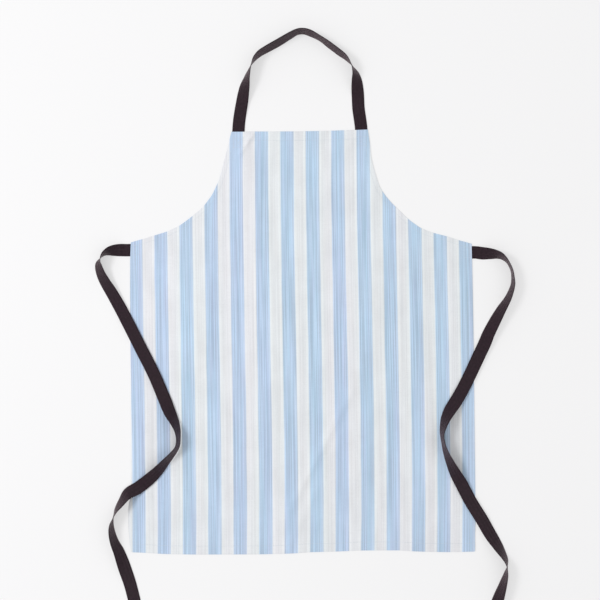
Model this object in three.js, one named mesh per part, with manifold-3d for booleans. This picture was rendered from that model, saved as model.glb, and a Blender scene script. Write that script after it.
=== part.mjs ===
// Bib apron of the butcher kind: one striped canvas panel with turned hems, a neck strap and
// two waist ties of cotton webbing, and the thread that holds them together.
// Millimetres. +X is to the right of the front, +Y towards the neck, +Z out of the cloth.
// While the pieces are made, y = 0 is the bottom edge; the whole apron is then moved so that
// the origin is at the middle of the footprint of panel and neck loop, on the table.
import * as THREE from 'three';
import { mergeVertices } from 'three/addons/utils/BufferGeometryUtils.js';
import Module from 'manifold-3d';

const wasm = await Module();
wasm.setup();

// ---- driving dimensions ----
const BODY_WIDTH = 690;          // across the skirt
const BODY_LENGTH = 850;         // bottom edge to the bib's top edge
const BIB_WIDTH = 276;           // across the bib's top edge
const SIDE_LENGTH_LEFT = 626;    // bottom edge to the left waist corner, as the cloth lies
const SIDE_LENGTH_RIGHT = 616;   // the same on the right, where the cloth lies a little lower
const PANEL_THICKNESS = 0.6;     // canvas

const TAPE_WIDTH = 25.4;         // one-inch webbing
const TAPE_THICKNESS = 1.4;
const TAPE_SEWN_LENGTH = 35;     // length of each tape end that lies behind the panel
const NECK_TAB_RISE = 3;         // free stub of the neck strap above the bib's edge, up to its fold
const TIE_DROP_LEFT = 15;        // waist corner down to the middle of the tie
const TIE_DROP_RIGHT = 17;
const TIE_FREE_LENGTH = 985;     // panel edge to the tip, along the tie
const TIP_TURN_LENGTH = 18;      // turned-under end of a tie

const HEM_THICKNESS = 1.4;       // two turned layers of canvas
const BIB_HEM_WIDTH = 20;
const ARMHOLE_HEM_WIDTH = 10;
const SIDE_HEM_WIDTH = 12;
const BOTTOM_HEM_WIDTH = 18;

const THREAD_WIDTH = 0.8;
const THREAD_THICKNESS = 0.4;
const STITCH_INSET = 2;          // topstitch line in from the hem's inner edge
const TACK_MARGIN = 3;           // box tack in from the tape's edges
const WAIST_TACK_LENGTH = 12;

// ---- fits ----
const CLEARANCE = 0.3;           // between pieces that touch
const FOLD_CLEARANCE = 0.4;      // between a tie and the cloth that it lies on
const ROUTE_STEP = 6;            // length of one step of a tape's solid
const ROUTE_DIVISIONS = 100;     // fineness of the length measure between two route points
const CURVE_STEPS = 36;          // points along one armhole

const halfWidth = BODY_WIDTH / 2;
const panelBottom = Math.max(TAPE_THICKNESS, HEM_THICKNESS) + CLEARANCE;
const panelTop = panelBottom + PANEL_THICKNESS;
const threadBottom = panelTop + CLEARANCE;
const onClothHeight = threadBottom + THREAD_THICKNESS + FOLD_CLEARANCE;
const neckAnchorX = BIB_WIDTH / 2 - TAPE_WIDTH / 2;

// ---- materials ----
const canvas = () => new THREE.MeshStandardMaterial({ color: '#d5e0ec', roughness: 0.9, metalness: 0 });
const webbing = () => new THREE.MeshStandardMaterial({ color: '#33282d', roughness: 0.85, metalness: 0 });
const paleThread = () => new THREE.MeshStandardMaterial({ color: '#e6eaee', roughness: 0.7, metalness: 0 });
const darkThread = () => new THREE.MeshStandardMaterial({ color: '#2a2226', roughness: 0.7, metalness: 0 });

const apron = new THREE.Group();

function addPiece(name, geometry, material) {
  const mesh = new THREE.Mesh(geometry, material());
  mesh.name = name;
  apron.add(mesh);
  return mesh;
}

// ---- solids: merging, cutting ----
function toSolid(geometry) {
  const bare = geometry.index ? geometry.toNonIndexed() : geometry.clone();
  bare.deleteAttribute('normal');
  bare.deleteAttribute('uv');
  const merged = mergeVertices(bare, 1e-4);
  return new wasm.Manifold(new wasm.Mesh({
    numProp: 3,
    vertProperties: new Float32Array(merged.attributes.position.array),
    triVerts: new Uint32Array(merged.index.array),
  }));
}

function toGeometry(solid) {
  const mesh = solid.getMesh();
  const geometry = new THREE.BufferGeometry();
  geometry.setAttribute('position', new THREE.BufferAttribute(new Float32Array(mesh.vertProperties), 3));
  geometry.setIndex(new THREE.BufferAttribute(new Uint32Array(mesh.triVerts), 1));
  geometry.computeVertexNormals();
  return geometry;
}

function cutAway(geometry, cutters) {
  let solid = toSolid(geometry);
  for (const cutter of cutters) {
    solid = solid.subtract(toSolid(cutter));
  }
  return toGeometry(solid);
}

// A box between two corners, grown by a clearance on every side.
function boxAround(low, high, grow = 0) {
  const size = high.map((value, axis) => value - low[axis] + 2 * grow);
  const geometry = new THREE.BoxGeometry(size[0], size[1], size[2]);
  return geometry.translate((low[0] + high[0]) / 2, (low[1] + high[1]) / 2, (low[2] + high[2]) / 2);
}

function extrudeFlat(outline, bottom, thickness, holes = []) {
  const shape = new THREE.Shape(outline);
  for (const hole of holes) {
    shape.holes.push(new THREE.Path(hole));
  }
  const geometry = new THREE.ExtrudeGeometry(shape, { depth: thickness, bevelEnabled: false });
  return geometry.translate(0, 0, bottom);
}

// ---- panel outline ----
// One armhole, from the bib corner to the waist corner. side is -1 on the left, +1 on the right.
// Its handles run towards the point where the straight edges would meet, given as shares of the
// armhole's own width, from the bib corner outwards, and of its own depth downwards.
const ARMHOLE_HANDLE = 0.87;
const ARMHOLE_MEET_OUT = 0.222;
const ARMHOLE_MEET_DOWN = 0.81;

function armholeCurve(side) {
  const sideLength = side < 0 ? SIDE_LENGTH_LEFT : SIDE_LENGTH_RIGHT;
  const bibCorner = new THREE.Vector2(side * BIB_WIDTH / 2, BODY_LENGTH);
  const waistCorner = new THREE.Vector2(side * halfWidth, sideLength);
  const meet = new THREE.Vector2(
    THREE.MathUtils.lerp(bibCorner.x, waistCorner.x, ARMHOLE_MEET_OUT),
    THREE.MathUtils.lerp(bibCorner.y, waistCorner.y, ARMHOLE_MEET_DOWN),
  );
  const bibHandle = bibCorner.clone().lerp(meet, ARMHOLE_HANDLE);
  const waistHandle = waistCorner.clone().lerp(meet, ARMHOLE_HANDLE);
  return new THREE.CubicBezierCurve(bibCorner, bibHandle, waistHandle, waistCorner);
}

// Points along an armhole, moved inwards from the panel's edge.
function armholeLine(side, inset) {
  const curve = armholeCurve(side);
  const points = [];
  for (let step = 0; step <= CURVE_STEPS; step += 1) {
    const t = step / CURVE_STEPS;
    const tangent = curve.getTangent(t);
    const inwards = new THREE.Vector2(tangent.y, -tangent.x).multiplyScalar(side * inset);
    points.push(curve.getPoint(t).add(inwards));
  }
  return points;
}

function bandBetween(outer, inner, bottom, thickness) {
  return extrudeFlat([...outer, ...inner.slice().reverse()], bottom, thickness);
}

// ---- the panel: striped canvas, bib and skirt in one piece ----
function panelGeometry() {
  const outline = [
    new THREE.Vector2(-halfWidth, 0),
    new THREE.Vector2(halfWidth, 0),
    ...armholeLine(1, 0).reverse(),
    ...armholeLine(-1, 0),
  ];
  return extrudeFlat(outline, panelBottom, PANEL_THICKNESS);
}

addPiece('body_panel', panelGeometry(), canvas);

// ---- places where the tapes are sewn on ----
function tieAnchorY(side) {
  return side < 0 ? SIDE_LENGTH_LEFT - TIE_DROP_LEFT : SIDE_LENGTH_RIGHT - TIE_DROP_RIGHT;
}

function neckEndBox(side) {
  const x = side * neckAnchorX;
  const low = [x - TAPE_WIDTH / 2, BODY_LENGTH - TAPE_SEWN_LENGTH, 0];
  const high = [x + TAPE_WIDTH / 2, BODY_LENGTH + NECK_TAB_RISE, TAPE_THICKNESS];
  return boxAround(low, high, CLEARANCE);
}

function tieEndBox(side) {
  const y = tieAnchorY(side);
  const inner = side * (halfWidth - TAPE_SEWN_LENGTH);
  const outer = side * (halfWidth + TAPE_WIDTH);
  const low = [Math.min(inner, outer), y - TAPE_WIDTH / 2, 0];
  const high = [Math.max(inner, outer), y + TAPE_WIDTH / 2, TAPE_THICKNESS];
  return boxAround(low, high, CLEARANCE);
}

// ---- hems: the turned allowances behind the panel, stopped around the tape ends ----
const bottomHem = boxAround(
  [-halfWidth, 0, 0],
  [halfWidth, BOTTOM_HEM_WIDTH, HEM_THICKNESS],
);
addPiece('bottom_hem', bottomHem, canvas);

const bibHemHalf = neckAnchorX - TAPE_WIDTH / 2 - CLEARANCE;
const bibHem = boxAround(
  [-bibHemHalf, BODY_LENGTH - BIB_HEM_WIDTH, 0],
  [bibHemHalf, BODY_LENGTH, HEM_THICKNESS],
);
addPiece('bib_hem', bibHem, canvas);

function sideHemGeometry(side) {
  const inner = side * (halfWidth - SIDE_HEM_WIDTH);
  const outer = side * halfWidth;
  const top = tieAnchorY(side) - TAPE_WIDTH / 2 - CLEARANCE;
  const low = [Math.min(inner, outer), BOTTOM_HEM_WIDTH + CLEARANCE, 0];
  const high = [Math.max(inner, outer), top, HEM_THICKNESS];
  return boxAround(low, high);
}

function armholeHemGeometry(side) {
  const outer = armholeLine(side, 0);
  const inner = armholeLine(side, ARMHOLE_HEM_WIDTH);
  const band = bandBetween(outer, inner, 0, HEM_THICKNESS);
  return cutAway(band, [neckEndBox(side), tieEndBox(side)]);
}

for (const [label, side] of [['left', -1], ['right', 1]]) {
  addPiece(`side_hem_${label}`, sideHemGeometry(side), canvas);
  addPiece(`armhole_hem_${label}`, armholeHemGeometry(side), canvas);
}

// ---- tapes ----
// A route is a list of [x, y, roll, cloth]: roll turns the tape about its own run, in degrees,
// 0 flat with its front up, and cloth is 1 where the tape lies on the panel and 0 where it
// lies on the table. A tape on its edge stands its full width high.
function makeRoute(points) {
  const places = points.map(([x, y]) => new THREE.Vector3(x, y, 0));
  const states = points.map(([, , roll, cloth]) => new THREE.Vector3(roll, cloth, 0));
  const path = new THREE.CatmullRomCurve3(places, false, 'centripetal');
  const lay = new THREE.CatmullRomCurve3(states, false, 'catmullrom', 0.4);
  path.arcLengthDivisions = ROUTE_DIVISIONS * (points.length - 1);
  const length = path.getLength();
  const lengthTo = (index) => path.getLengths()[ROUTE_DIVISIONS * index];
  function at(distance) {
    const t = path.getUtoTmapping(0, distance);
    const place = path.getPoint(t);
    const forward = path.getTangent(t).normalize();
    const state = lay.getPoint(t);
    const last = points.length - 2;
    const from = Math.min(Math.floor(t * (last + 1)), last);
    const steady = points[from][2] === points[from + 1][2];
    const roll = THREE.MathUtils.degToRad(steady ? points[from][2] : state.x);
    const cloth = THREE.MathUtils.clamp(state.y, 0, 1);
    const left = new THREE.Vector3(-forward.y, forward.x, 0);
    const across = left.multiplyScalar(Math.cos(roll)).add(new THREE.Vector3(0, 0, Math.sin(roll)));
    const face = new THREE.Vector3().crossVectors(forward, across);
    const stand = Math.abs(Math.sin(roll)) * TAPE_WIDTH / 2 + Math.abs(Math.cos(roll)) * TAPE_THICKNESS / 2;
    place.z = cloth * onClothHeight + stand;
    return { place, across, face };
  }
  return { at, length, lengthTo };
}

// The solid of a tape between two distances along its route. lift raises it off the route's
// own surface, and roundStart gives the first end a half-round nose of the tape's thickness.
function tapeSolid(route, start, end, options = {}) {
  const { width = TAPE_WIDTH, thickness = TAPE_THICKNESS, lift = 0, roundStart = false } = options;
  const stations = [];
  if (roundStart) {
    const nose = thickness / 2;
    for (const angle of [80, 55, 30]) {
      const turn = THREE.MathUtils.degToRad(angle);
      stations.push([start - nose * Math.sin(turn), 2 * nose * Math.cos(turn)]);
    }
  }
  const steps = Math.max(1, Math.ceil((end - start) / ROUTE_STEP));
  for (let step = 0; step <= steps; step += 1) {
    stations.push([start + (end - start) * step / steps, thickness]);
  }
  const positions = [];
  for (const [distance, depth] of stations) {
    const { place, across, face } = route.at(distance);
    place.addScaledVector(face, lift);
    for (const [u, v] of [[-1, -1], [1, -1], [1, 1], [-1, 1]]) {
      const corner = place.clone();
      corner.addScaledVector(across, u * width / 2);
      corner.addScaledVector(face, v * depth / 2);
      positions.push(corner.x, corner.y, corner.z);
    }
  }
  const faces = [0, 2, 1, 0, 3, 2];
  const last = 4 * (stations.length - 1);
  faces.push(last, last + 1, last + 2, last, last + 2, last + 3);
  // Opposite sides are split along matching diagonals, so a twisting tape keeps its thickness.
  for (let ring = 0; ring < last; ring += 4) {
    for (let side = 0; side < 4; side += 1) {
      const next = (side + 1) % 4;
      const [a, b, c, d] = [ring + side, ring + next, ring + 4 + next, ring + 4 + side];
      if (side < 2) {
        faces.push(a, b, c, a, c, d);
      } else {
        faces.push(a, b, d, b, c, d);
      }
    }
  }
  const geometry = new THREE.BufferGeometry();
  geometry.setAttribute('position', new THREE.Float32BufferAttribute(positions, 3));
  geometry.setIndex(faces);
  return orientOutwards(geometry);
}

// A tape's faces may come out inside-out, which shows as a negative volume.
function orientOutwards(geometry) {
  const place = geometry.attributes.position;
  const index = geometry.index.array;
  let volume = 0;
  const [a, b, c] = [new THREE.Vector3(), new THREE.Vector3(), new THREE.Vector3()];
  for (let i = 0; i < index.length; i += 3) {
    a.fromBufferAttribute(place, index[i]);
    b.fromBufferAttribute(place, index[i + 1]);
    c.fromBufferAttribute(place, index[i + 2]);
    volume += a.dot(b.clone().cross(c));
  }
  if (volume < 0) {
    for (let i = 0; i < index.length; i += 3) {
      [index[i + 1], index[i + 2]] = [index[i + 2], index[i + 1]];
    }
  }
  geometry.computeVertexNormals();
  return geometry;
}

// ---- neck strap: sewn at both bib corners, standing on its edge over the top ----
// x is set out on anchors 125.3 from the middle, y from the bib's top edge.
const NECK_ROUTE_SPAN = 125.3;
const NECK_ROUTE = [
  [-125.3, -35, 0], [-125.3, -14, 0], [-125, 4, 0], [-123, 26, 0], [-117, 61, -8],
  [-112, 88, -28], [-106, 111, -58], [-99, 131, -77], [-91, 146, -94], [-80, 157, -103],
  [-65, 166, -107], [-41, 179, -109], [-17, 193, -105], [-3, 200, -100], [10, 201, -100],
  [23, 197, -103], [43, 186, -98], [62, 172, -104], [80, 158, -104], [95, 146, -97],
  [108, 129, -77], [115, 114, -53], [117, 101, -31], [118, 87, -13], [119, 71, 0],
  [120, 45, 0], [123, 22, 0], [125, 4, 0], [125.3, -14, 0], [125.3, -35, 0],
];
const neckSpread = neckAnchorX / NECK_ROUTE_SPAN;
const neckRoute = makeRoute(NECK_ROUTE.map(([x, y, roll]) => [x * neckSpread, BODY_LENGTH + y, roll, 0]));
const neckFold = TAPE_SEWN_LENGTH + NECK_TAB_RISE;
const neckLength = neckRoute.length;

const neckStart = neckFold + CLEARANCE / 2;
const neckEnd = neckLength - neckFold - CLEARANCE / 2;
addPiece('neck_strap', tapeSolid(neckRoute, neckStart, neckEnd), webbing);
addPiece('neck_strap_end_left', tapeSolid(neckRoute, 0, neckStart - CLEARANCE), webbing);
addPiece('neck_strap_end_right', tapeSolid(neckRoute, neckEnd + CLEARANCE, neckLength), webbing);

// ---- waist ties ----
// x is set out from the panel's side edge and y from the middle of the tie's sewn end.
const LEFT_TIE_ROUTE = [
  [35, 0, 0, 0], [16, 0, 0, 0], [-11, 0, 0, 0], [-23, 0, -13, 0], [-39, -2, -40, 0],
  [-51, -6.5, -72, 0], [-57, -11, -90, 0], [-62, -18, -107, 0], [-66, -29, -133, 0],
  [-62, -47, -146, 0], [-53, -64, -153, 0], [-38, -85, -172, 0], [-21, -120, -180, 0.6],
  [-8, -147, -180, 1], [16, -195, -180, 1], [45, -253, -180, 1], [65, -300, -185, 1],
  [78, -329, -212, 1], [89, -350, -237, 1], [94, -364, -250, 1], [96, -381, -259, 1],
  [94, -397, -260, 1], [85, -411, -257, 1], [70, -428, -248, 1], [55, -445, -232, 1],
  [36, -463, -200, 1], [11, -482, -175, 1], [-8, -492, -152, 1], [-21, -509, -129, 0.7],
  [-32, -525, -112, 0.1], [-37, -538, -100, 0], [-41, -554, -84, 0], [-40, -570, -74, 0],
  [-35, -589, -64, 0], [-26, -610, -47, 0], [-14, -650, -14, 0], [-6, -676, -3, 0],
  [2, -708, 0, 0], [9, -740, 0, 0], [15, -770, 0, 0], [20, -800, 0, 0], [25, -836, 0, 0],
  [30, -872, 0, 0],
];
const RIGHT_TIE_ROUTE = [
  [-35, 0, 0, 0], [-16, 0, 0, 0], [9, 0, 0, 0], [21, -2, 12, 0], [39, -4, 38, 0],
  [54, -7.5, 62, 0], [64, -14, 80, 0], [71, -22, 90, 0], [78, -37, 92, 0], [80, -50, 90, 0],
  [80, -65, 84, 0], [76, -79, 77, 0], [69, -95, 68, 0], [57, -115, 53, 0], [44, -139, 38, 0],
  [31, -165, 26, 0], [24, -182, 14, 0.6], [15, -201, 6, 1], [-14, -261, 3, 1], [-26, -283, 6, 1],
  [-38, -302, 13, 1], [-49, -317, 31, 1], [-58, -333, 51, 1], [-63, -347, 66, 1],
  [-66, -362, 78, 1], [-64, -380, 81, 1], [-60, -396, 73, 1], [-51, -419, 56, 1],
  [-40, -442, 33, 1], [-27, -465, 10, 1], [-10, -498, 0, 1], [14, -538, -1, 1],
  [29, -565, -12, 0.4], [43, -587, -34, 0], [55, -607, -57, 0], [60, -618, -66, 0],
  [61, -629, -77, 0], [58, -644, -95, 0], [52, -664, -111, 0], [42, -695, -135, 0],
  [34, -722, -154, 0], [26, -750, -170, 0], [19, -782, -180, 0], [13, -812, -180, 0],
  [8, -840, -180, 0], [4, -870, -180, 0], [0, -905, -180, 0],
];
const LEFT_PIVOT_POINT = 6;      // route point where the tie first stands on its edge and swings
const RIGHT_PIVOT_POINT = 7;

function tieRoute(side, points) {
  const sideX = side * halfWidth;
  const sewnY = tieAnchorY(side);
  return makeRoute(points.map(([x, y, roll, cloth]) => [sideX + x, sewnY + y, roll, cloth]));
}

const ties = [
  { label: 'left', side: -1, points: LEFT_TIE_ROUTE, pivotPoint: LEFT_PIVOT_POINT },
  { label: 'right', side: 1, points: RIGHT_TIE_ROUTE, pivotPoint: RIGHT_PIVOT_POINT },
];

for (const tie of ties) {
  const route = tieRoute(tie.side, tie.points);
  const pivot = route.lengthTo(tie.pivotPoint);
  const rootEnd = pivot - TAPE_THICKNESS / 2 - CLEARANCE;
  const tip = TAPE_SEWN_LENGTH + TIE_FREE_LENGTH;
  const turnLift = TAPE_THICKNESS + CLEARANCE;
  const stitchLift = turnLift + TAPE_THICKNESS / 2 + CLEARANCE + THREAD_THICKNESS / 2;
  const stitchAt = tip - TIP_TURN_LENGTH + STITCH_INSET + THREAD_WIDTH;
  const stitchSize = { width: TAPE_WIDTH - 2 * TACK_MARGIN, thickness: THREAD_THICKNESS };
  // The tip that lies face down has its turned end, and the stitches, on the upper side too.
  const up = Math.sign(route.at(tip).face.z);
  const root = tapeSolid(route, 0, rootEnd);
  const free = tapeSolid(route, pivot, tip, { roundStart: true });
  const turned = tapeSolid(route, tip - TIP_TURN_LENGTH, tip, { lift: up * turnLift });
  const stitchOptions = { lift: up * stitchLift, ...stitchSize };
  const stitchStart = stitchAt - THREAD_WIDTH / 2;
  const stitchRow = tapeSolid(route, stitchStart, stitchStart + THREAD_WIDTH, stitchOptions);
  addPiece(`waist_tie_root_${tie.label}`, root, webbing);
  addPiece(`waist_tie_${tie.label}`, free, webbing);
  addPiece(`waist_tie_tip_${tie.label}`, turned, webbing);
  addPiece(`tie_tip_stitch_${tie.label}`, stitchRow, darkThread);
}

// ---- topstitching: one run of thread along each hem, on the front ----
// Each run stops at the box tacks, which hold the tape ends.
function neckTackCorners(side) {
  const x = side * neckAnchorX;
  const reach = TAPE_WIDTH / 2 - TACK_MARGIN;
  const low = [x - reach, BODY_LENGTH - TAPE_SEWN_LENGTH + TACK_MARGIN];
  const high = [x + reach, BODY_LENGTH - TAPE_SEWN_LENGTH + TACK_MARGIN + 2 * reach];
  return [low, high];
}

function waistTackCorners(side) {
  const y = tieAnchorY(side);
  const reach = TAPE_WIDTH / 2 - TACK_MARGIN;
  const outer = side * (halfWidth - TACK_MARGIN);
  const inner = side * (halfWidth - TACK_MARGIN - WAIST_TACK_LENGTH);
  return [[Math.min(inner, outer), y - reach], [Math.max(inner, outer), y + reach]];
}

// Space beyond a tack, out to the panel's rim, where the armhole's run of thread has ended.
function beyondNeckTack(side) {
  const [tackLow] = neckTackCorners(side);
  const reach = BIB_WIDTH;
  const bottom = tackLow[1] - THREAD_WIDTH / 2;
  const x = side * neckAnchorX;
  const top = BODY_LENGTH + BIB_HEM_WIDTH;
  const low = [x - reach, bottom, threadBottom];
  const high = [x + reach, top, threadBottom + THREAD_THICKNESS];
  return boxAround(low, high, CLEARANCE);
}

function beyondWaistTack(side) {
  const inner = side * (halfWidth - TACK_MARGIN - WAIST_TACK_LENGTH - THREAD_WIDTH / 2);
  const outer = side * (halfWidth + SIDE_HEM_WIDTH);
  const y = tieAnchorY(side);
  const low = [Math.min(inner, outer), y - TAPE_WIDTH, threadBottom];
  const high = [Math.max(inner, outer), y + 2 * TAPE_WIDTH, threadBottom + THREAD_THICKNESS];
  return boxAround(low, high, CLEARANCE);
}

function rectangle([low, high], inset = 0) {
  return [
    new THREE.Vector2(low[0] + inset, low[1] + inset),
    new THREE.Vector2(high[0] - inset, low[1] + inset),
    new THREE.Vector2(high[0] - inset, high[1] - inset),
    new THREE.Vector2(low[0] + inset, high[1] - inset),
  ];
}

// A tack sewn as a rectangle; a crossed one also has both diagonals.
function tackGeometry(corners, crossed) {
  const outer = rectangle(corners);
  const hole = rectangle(corners, THREAD_WIDTH);
  const frame = toSolid(extrudeFlat(outer, threadBottom, THREAD_THICKNESS, [hole.slice().reverse()]));
  if (!crossed) {
    return toGeometry(frame);
  }
  const start = rectangle(corners, THREAD_WIDTH / 2);
  let solid = frame;
  for (const [from, to] of [[start[0], start[2]], [start[1], start[3]]]) {
    const half = to.clone().sub(from).normalize().multiplyScalar(THREAD_WIDTH / 2);
    const aside = new THREE.Vector2(-half.y, half.x);
    const bar = [
      from.clone().sub(aside),
      to.clone().sub(aside),
      to.clone().add(aside),
      from.clone().add(aside),
    ];
    solid = solid.add(toSolid(extrudeFlat(bar, threadBottom, THREAD_THICKNESS)));
  }
  return toGeometry(solid);
}

function armholeStitchGeometry(side) {
  const inset = ARMHOLE_HEM_WIDTH - STITCH_INSET;
  const run = bandBetween(
    armholeLine(side, inset),
    armholeLine(side, inset + THREAD_WIDTH),
    threadBottom,
    THREAD_THICKNESS,
  );
  return cutAway(run, [beyondNeckTack(side), beyondWaistTack(side)]);
}

function sideStitchGeometry(side) {
  const near = side * (halfWidth - SIDE_HEM_WIDTH + STITCH_INSET);
  const far = near - side * THREAD_WIDTH;
  const bottom = BOTTOM_HEM_WIDTH - STITCH_INSET + THREAD_WIDTH + CLEARANCE;
  const top = waistTackCorners(side)[0][1] - THREAD_WIDTH / 2 - CLEARANCE;
  const low = [Math.min(near, far), bottom, threadBottom];
  return boxAround(low, [Math.max(near, far), top, threadBottom + THREAD_THICKNESS]);
}

for (const [label, side] of [['left', -1], ['right', 1]]) {
  addPiece(`armhole_topstitch_${label}`, armholeStitchGeometry(side), paleThread);
  addPiece(`side_topstitch_${label}`, sideStitchGeometry(side), paleThread);
  addPiece(`neck_tack_${label}`, tackGeometry(neckTackCorners(side), true), paleThread);
  addPiece(`waist_tack_${label}`, tackGeometry(waistTackCorners(side), false), paleThread);
}

const bottomStitchHalf = halfWidth - THREAD_WIDTH;
const bottomStitch = boxAround(
  [-bottomStitchHalf, BOTTOM_HEM_WIDTH - STITCH_INSET, threadBottom],
  [bottomStitchHalf, BOTTOM_HEM_WIDTH - STITCH_INSET + THREAD_WIDTH, threadBottom + THREAD_THICKNESS],
);
addPiece('bottom_topstitch', bottomStitch, paleThread);

const bibStitchY = BODY_LENGTH - BIB_HEM_WIDTH + STITCH_INSET;
const bibStitchHalf = neckTackCorners(1)[0][0] - THREAD_WIDTH / 2 - CLEARANCE;
const bibStitch = boxAround(
  [-bibStitchHalf, bibStitchY, threadBottom],
  [bibStitchHalf, bibStitchY + THREAD_WIDTH, threadBottom + THREAD_THICKNESS],
);
addPiece('bib_topstitch', bibStitch, paleThread);

// ---- origin: the middle of the footprint of panel and neck loop ----
const neckBox = new THREE.Box3().setFromObject(apron.getObjectByName('neck_strap'));
apron.position.y = -neckBox.max.y / 2;

const butcherApron = new THREE.Group();
butcherApron.add(apron);
butcherApron.updateMatrixWorld(true);

export default butcherApron;
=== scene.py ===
import math

import bmesh
import bpy
import numpy as np
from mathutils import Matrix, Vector, noise


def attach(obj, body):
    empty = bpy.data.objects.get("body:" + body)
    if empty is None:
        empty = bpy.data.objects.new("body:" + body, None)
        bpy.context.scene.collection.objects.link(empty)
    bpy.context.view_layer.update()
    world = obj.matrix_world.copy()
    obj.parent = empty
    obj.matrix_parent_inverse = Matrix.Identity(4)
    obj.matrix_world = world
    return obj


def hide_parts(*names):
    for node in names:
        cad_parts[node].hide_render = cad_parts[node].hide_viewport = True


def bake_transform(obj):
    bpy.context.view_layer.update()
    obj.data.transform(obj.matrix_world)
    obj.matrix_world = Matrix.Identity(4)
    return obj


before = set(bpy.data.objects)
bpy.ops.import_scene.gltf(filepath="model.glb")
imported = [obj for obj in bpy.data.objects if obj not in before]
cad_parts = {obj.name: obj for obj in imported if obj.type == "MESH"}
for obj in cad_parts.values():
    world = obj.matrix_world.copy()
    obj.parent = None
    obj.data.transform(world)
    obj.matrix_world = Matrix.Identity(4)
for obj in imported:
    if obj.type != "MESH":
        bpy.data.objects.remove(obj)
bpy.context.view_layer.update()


# ---- table, light and camera ----
# The apron lies face up on a white studio table. A broad lamp on the left throws soft
# shadows to the right, and a weaker one on the right fills them.
TABLE_DROP = 0.0003            # how far under the tapes it lies, clear of the threads
TABLE_HALF = 60.0
TABLE_COLOUR = (0.405, 0.402, 0.408)
TABLE_SHADE = 0.985            # its darker patches, as a share of its colour
TABLE_PATCHES = 0.5
WHITE = (1.0, 1.0, 1.0, 1.0)
TABLE_LEVELS = {
    "Roughness": 0.85, "Specular IOR Level": 0.1, "Emission Color": WHITE,
    # painted glow: the table's emission lights it a little from within, which thins the shadows
    # cast on it
    "Emission Strength": 0.50,  # the table glows a little, which thins the shadows on it
}
SKY_STRENGTH = 0.735
LAMPS = {
    "lamp_left": {"power": 70.0, "size": 1.25, "place": (-2.8, 0.5, 3.0)},
    "lamp_right": {"power": 14.0, "size": 2.6, "place": (4.0, 0.3, 3.6)},
}
CAMERA_PLACE = (0.0298, -0.0575, 1.6903)
CAMERA_TURN = (1.23, 1.11, -0.51)
CAMERA_LENS = 50.0
CAMERA_SENSOR = 36.0


def new_finish(name, levels):
    """A finish, with the levels that are the same all over set on its own sockets."""
    material = bpy.data.materials.new(name)
    material.use_nodes = True
    nodes, links = material.node_tree.nodes, material.node_tree.links
    shader = nodes["Principled BSDF"]
    for socket, level in levels.items():
        shader.inputs[socket].default_value = level
    return material, nodes, links, shader


def patchy_finish(name, levels, scale, first, second):
    """A finish whose colour drifts between two close shades."""
    material, nodes, links, shader = new_finish(name, levels)
    place = nodes.new("ShaderNodeTexCoord")
    patches = nodes.new("ShaderNodeTexNoise")
    patches.inputs["Scale"].default_value = scale
    shades = nodes.new("ShaderNodeValToRGB")
    shades.color_ramp.elements[0].color = (*first, 1.0)
    shades.color_ramp.elements[1].color = (*second, 1.0)
    links.new(place.outputs["Object"], patches.inputs["Vector"])
    links.new(patches.outputs["Fac"], shades.inputs["Fac"])
    links.new(shades.outputs["Color"], shader.inputs["Base Color"])
    return material


def mesh_piece(name, points, faces, finish):
    mesh = bpy.data.meshes.new(name)
    mesh.from_pydata([tuple(p) for p in points], [], [tuple(f) for f in faces])
    mesh.update()
    mesh.materials.append(finish)
    piece = bpy.data.objects.new(name, mesh)
    bpy.context.scene.collection.objects.link(piece)
    return piece


white_table = patchy_finish(
    "white_table", TABLE_LEVELS, TABLE_PATCHES,
    TABLE_COLOUR, [TABLE_SHADE * c for c in TABLE_COLOUR],
)
table_corners = [
    (x * TABLE_HALF, y * TABLE_HALF, -TABLE_DROP) for x, y in ((-1, -1), (1, -1), (1, 1), (-1, 1))
]
table = mesh_piece("studio_table", table_corners, [(0, 1, 2, 3)], white_table)

sky = bpy.data.worlds.new("studio")
sky.use_nodes = True
sky.node_tree.nodes["Background"].inputs["Color"].default_value = WHITE
sky.node_tree.nodes["Background"].inputs["Strength"].default_value = SKY_STRENGTH
bpy.context.scene.world = sky
bpy.context.scene.view_settings.view_transform = "Standard"
for name, facts in LAMPS.items():
    lamp = bpy.data.lights.new(name, "AREA")
    lamp.shape = "DISK"
    lamp.energy = facts["power"]
    lamp.size = facts["size"]
    holder = bpy.data.objects.new(name, lamp)
    holder.location = facts["place"]
    holder.rotation_euler = (-Vector(facts["place"])).to_track_quat("-Z", "Y").to_euler()
    bpy.context.scene.collection.objects.link(holder)

lens = bpy.data.cameras.new("overhead")
lens.lens = CAMERA_LENS
lens.sensor_width = CAMERA_SENSOR
camera = bpy.data.objects.new("overhead", lens)
camera.location = CAMERA_PLACE
camera.rotation_euler = [math.radians(a) for a in CAMERA_TURN]
bpy.context.scene.collection.objects.link(camera)
bpy.context.scene.camera = camera


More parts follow.
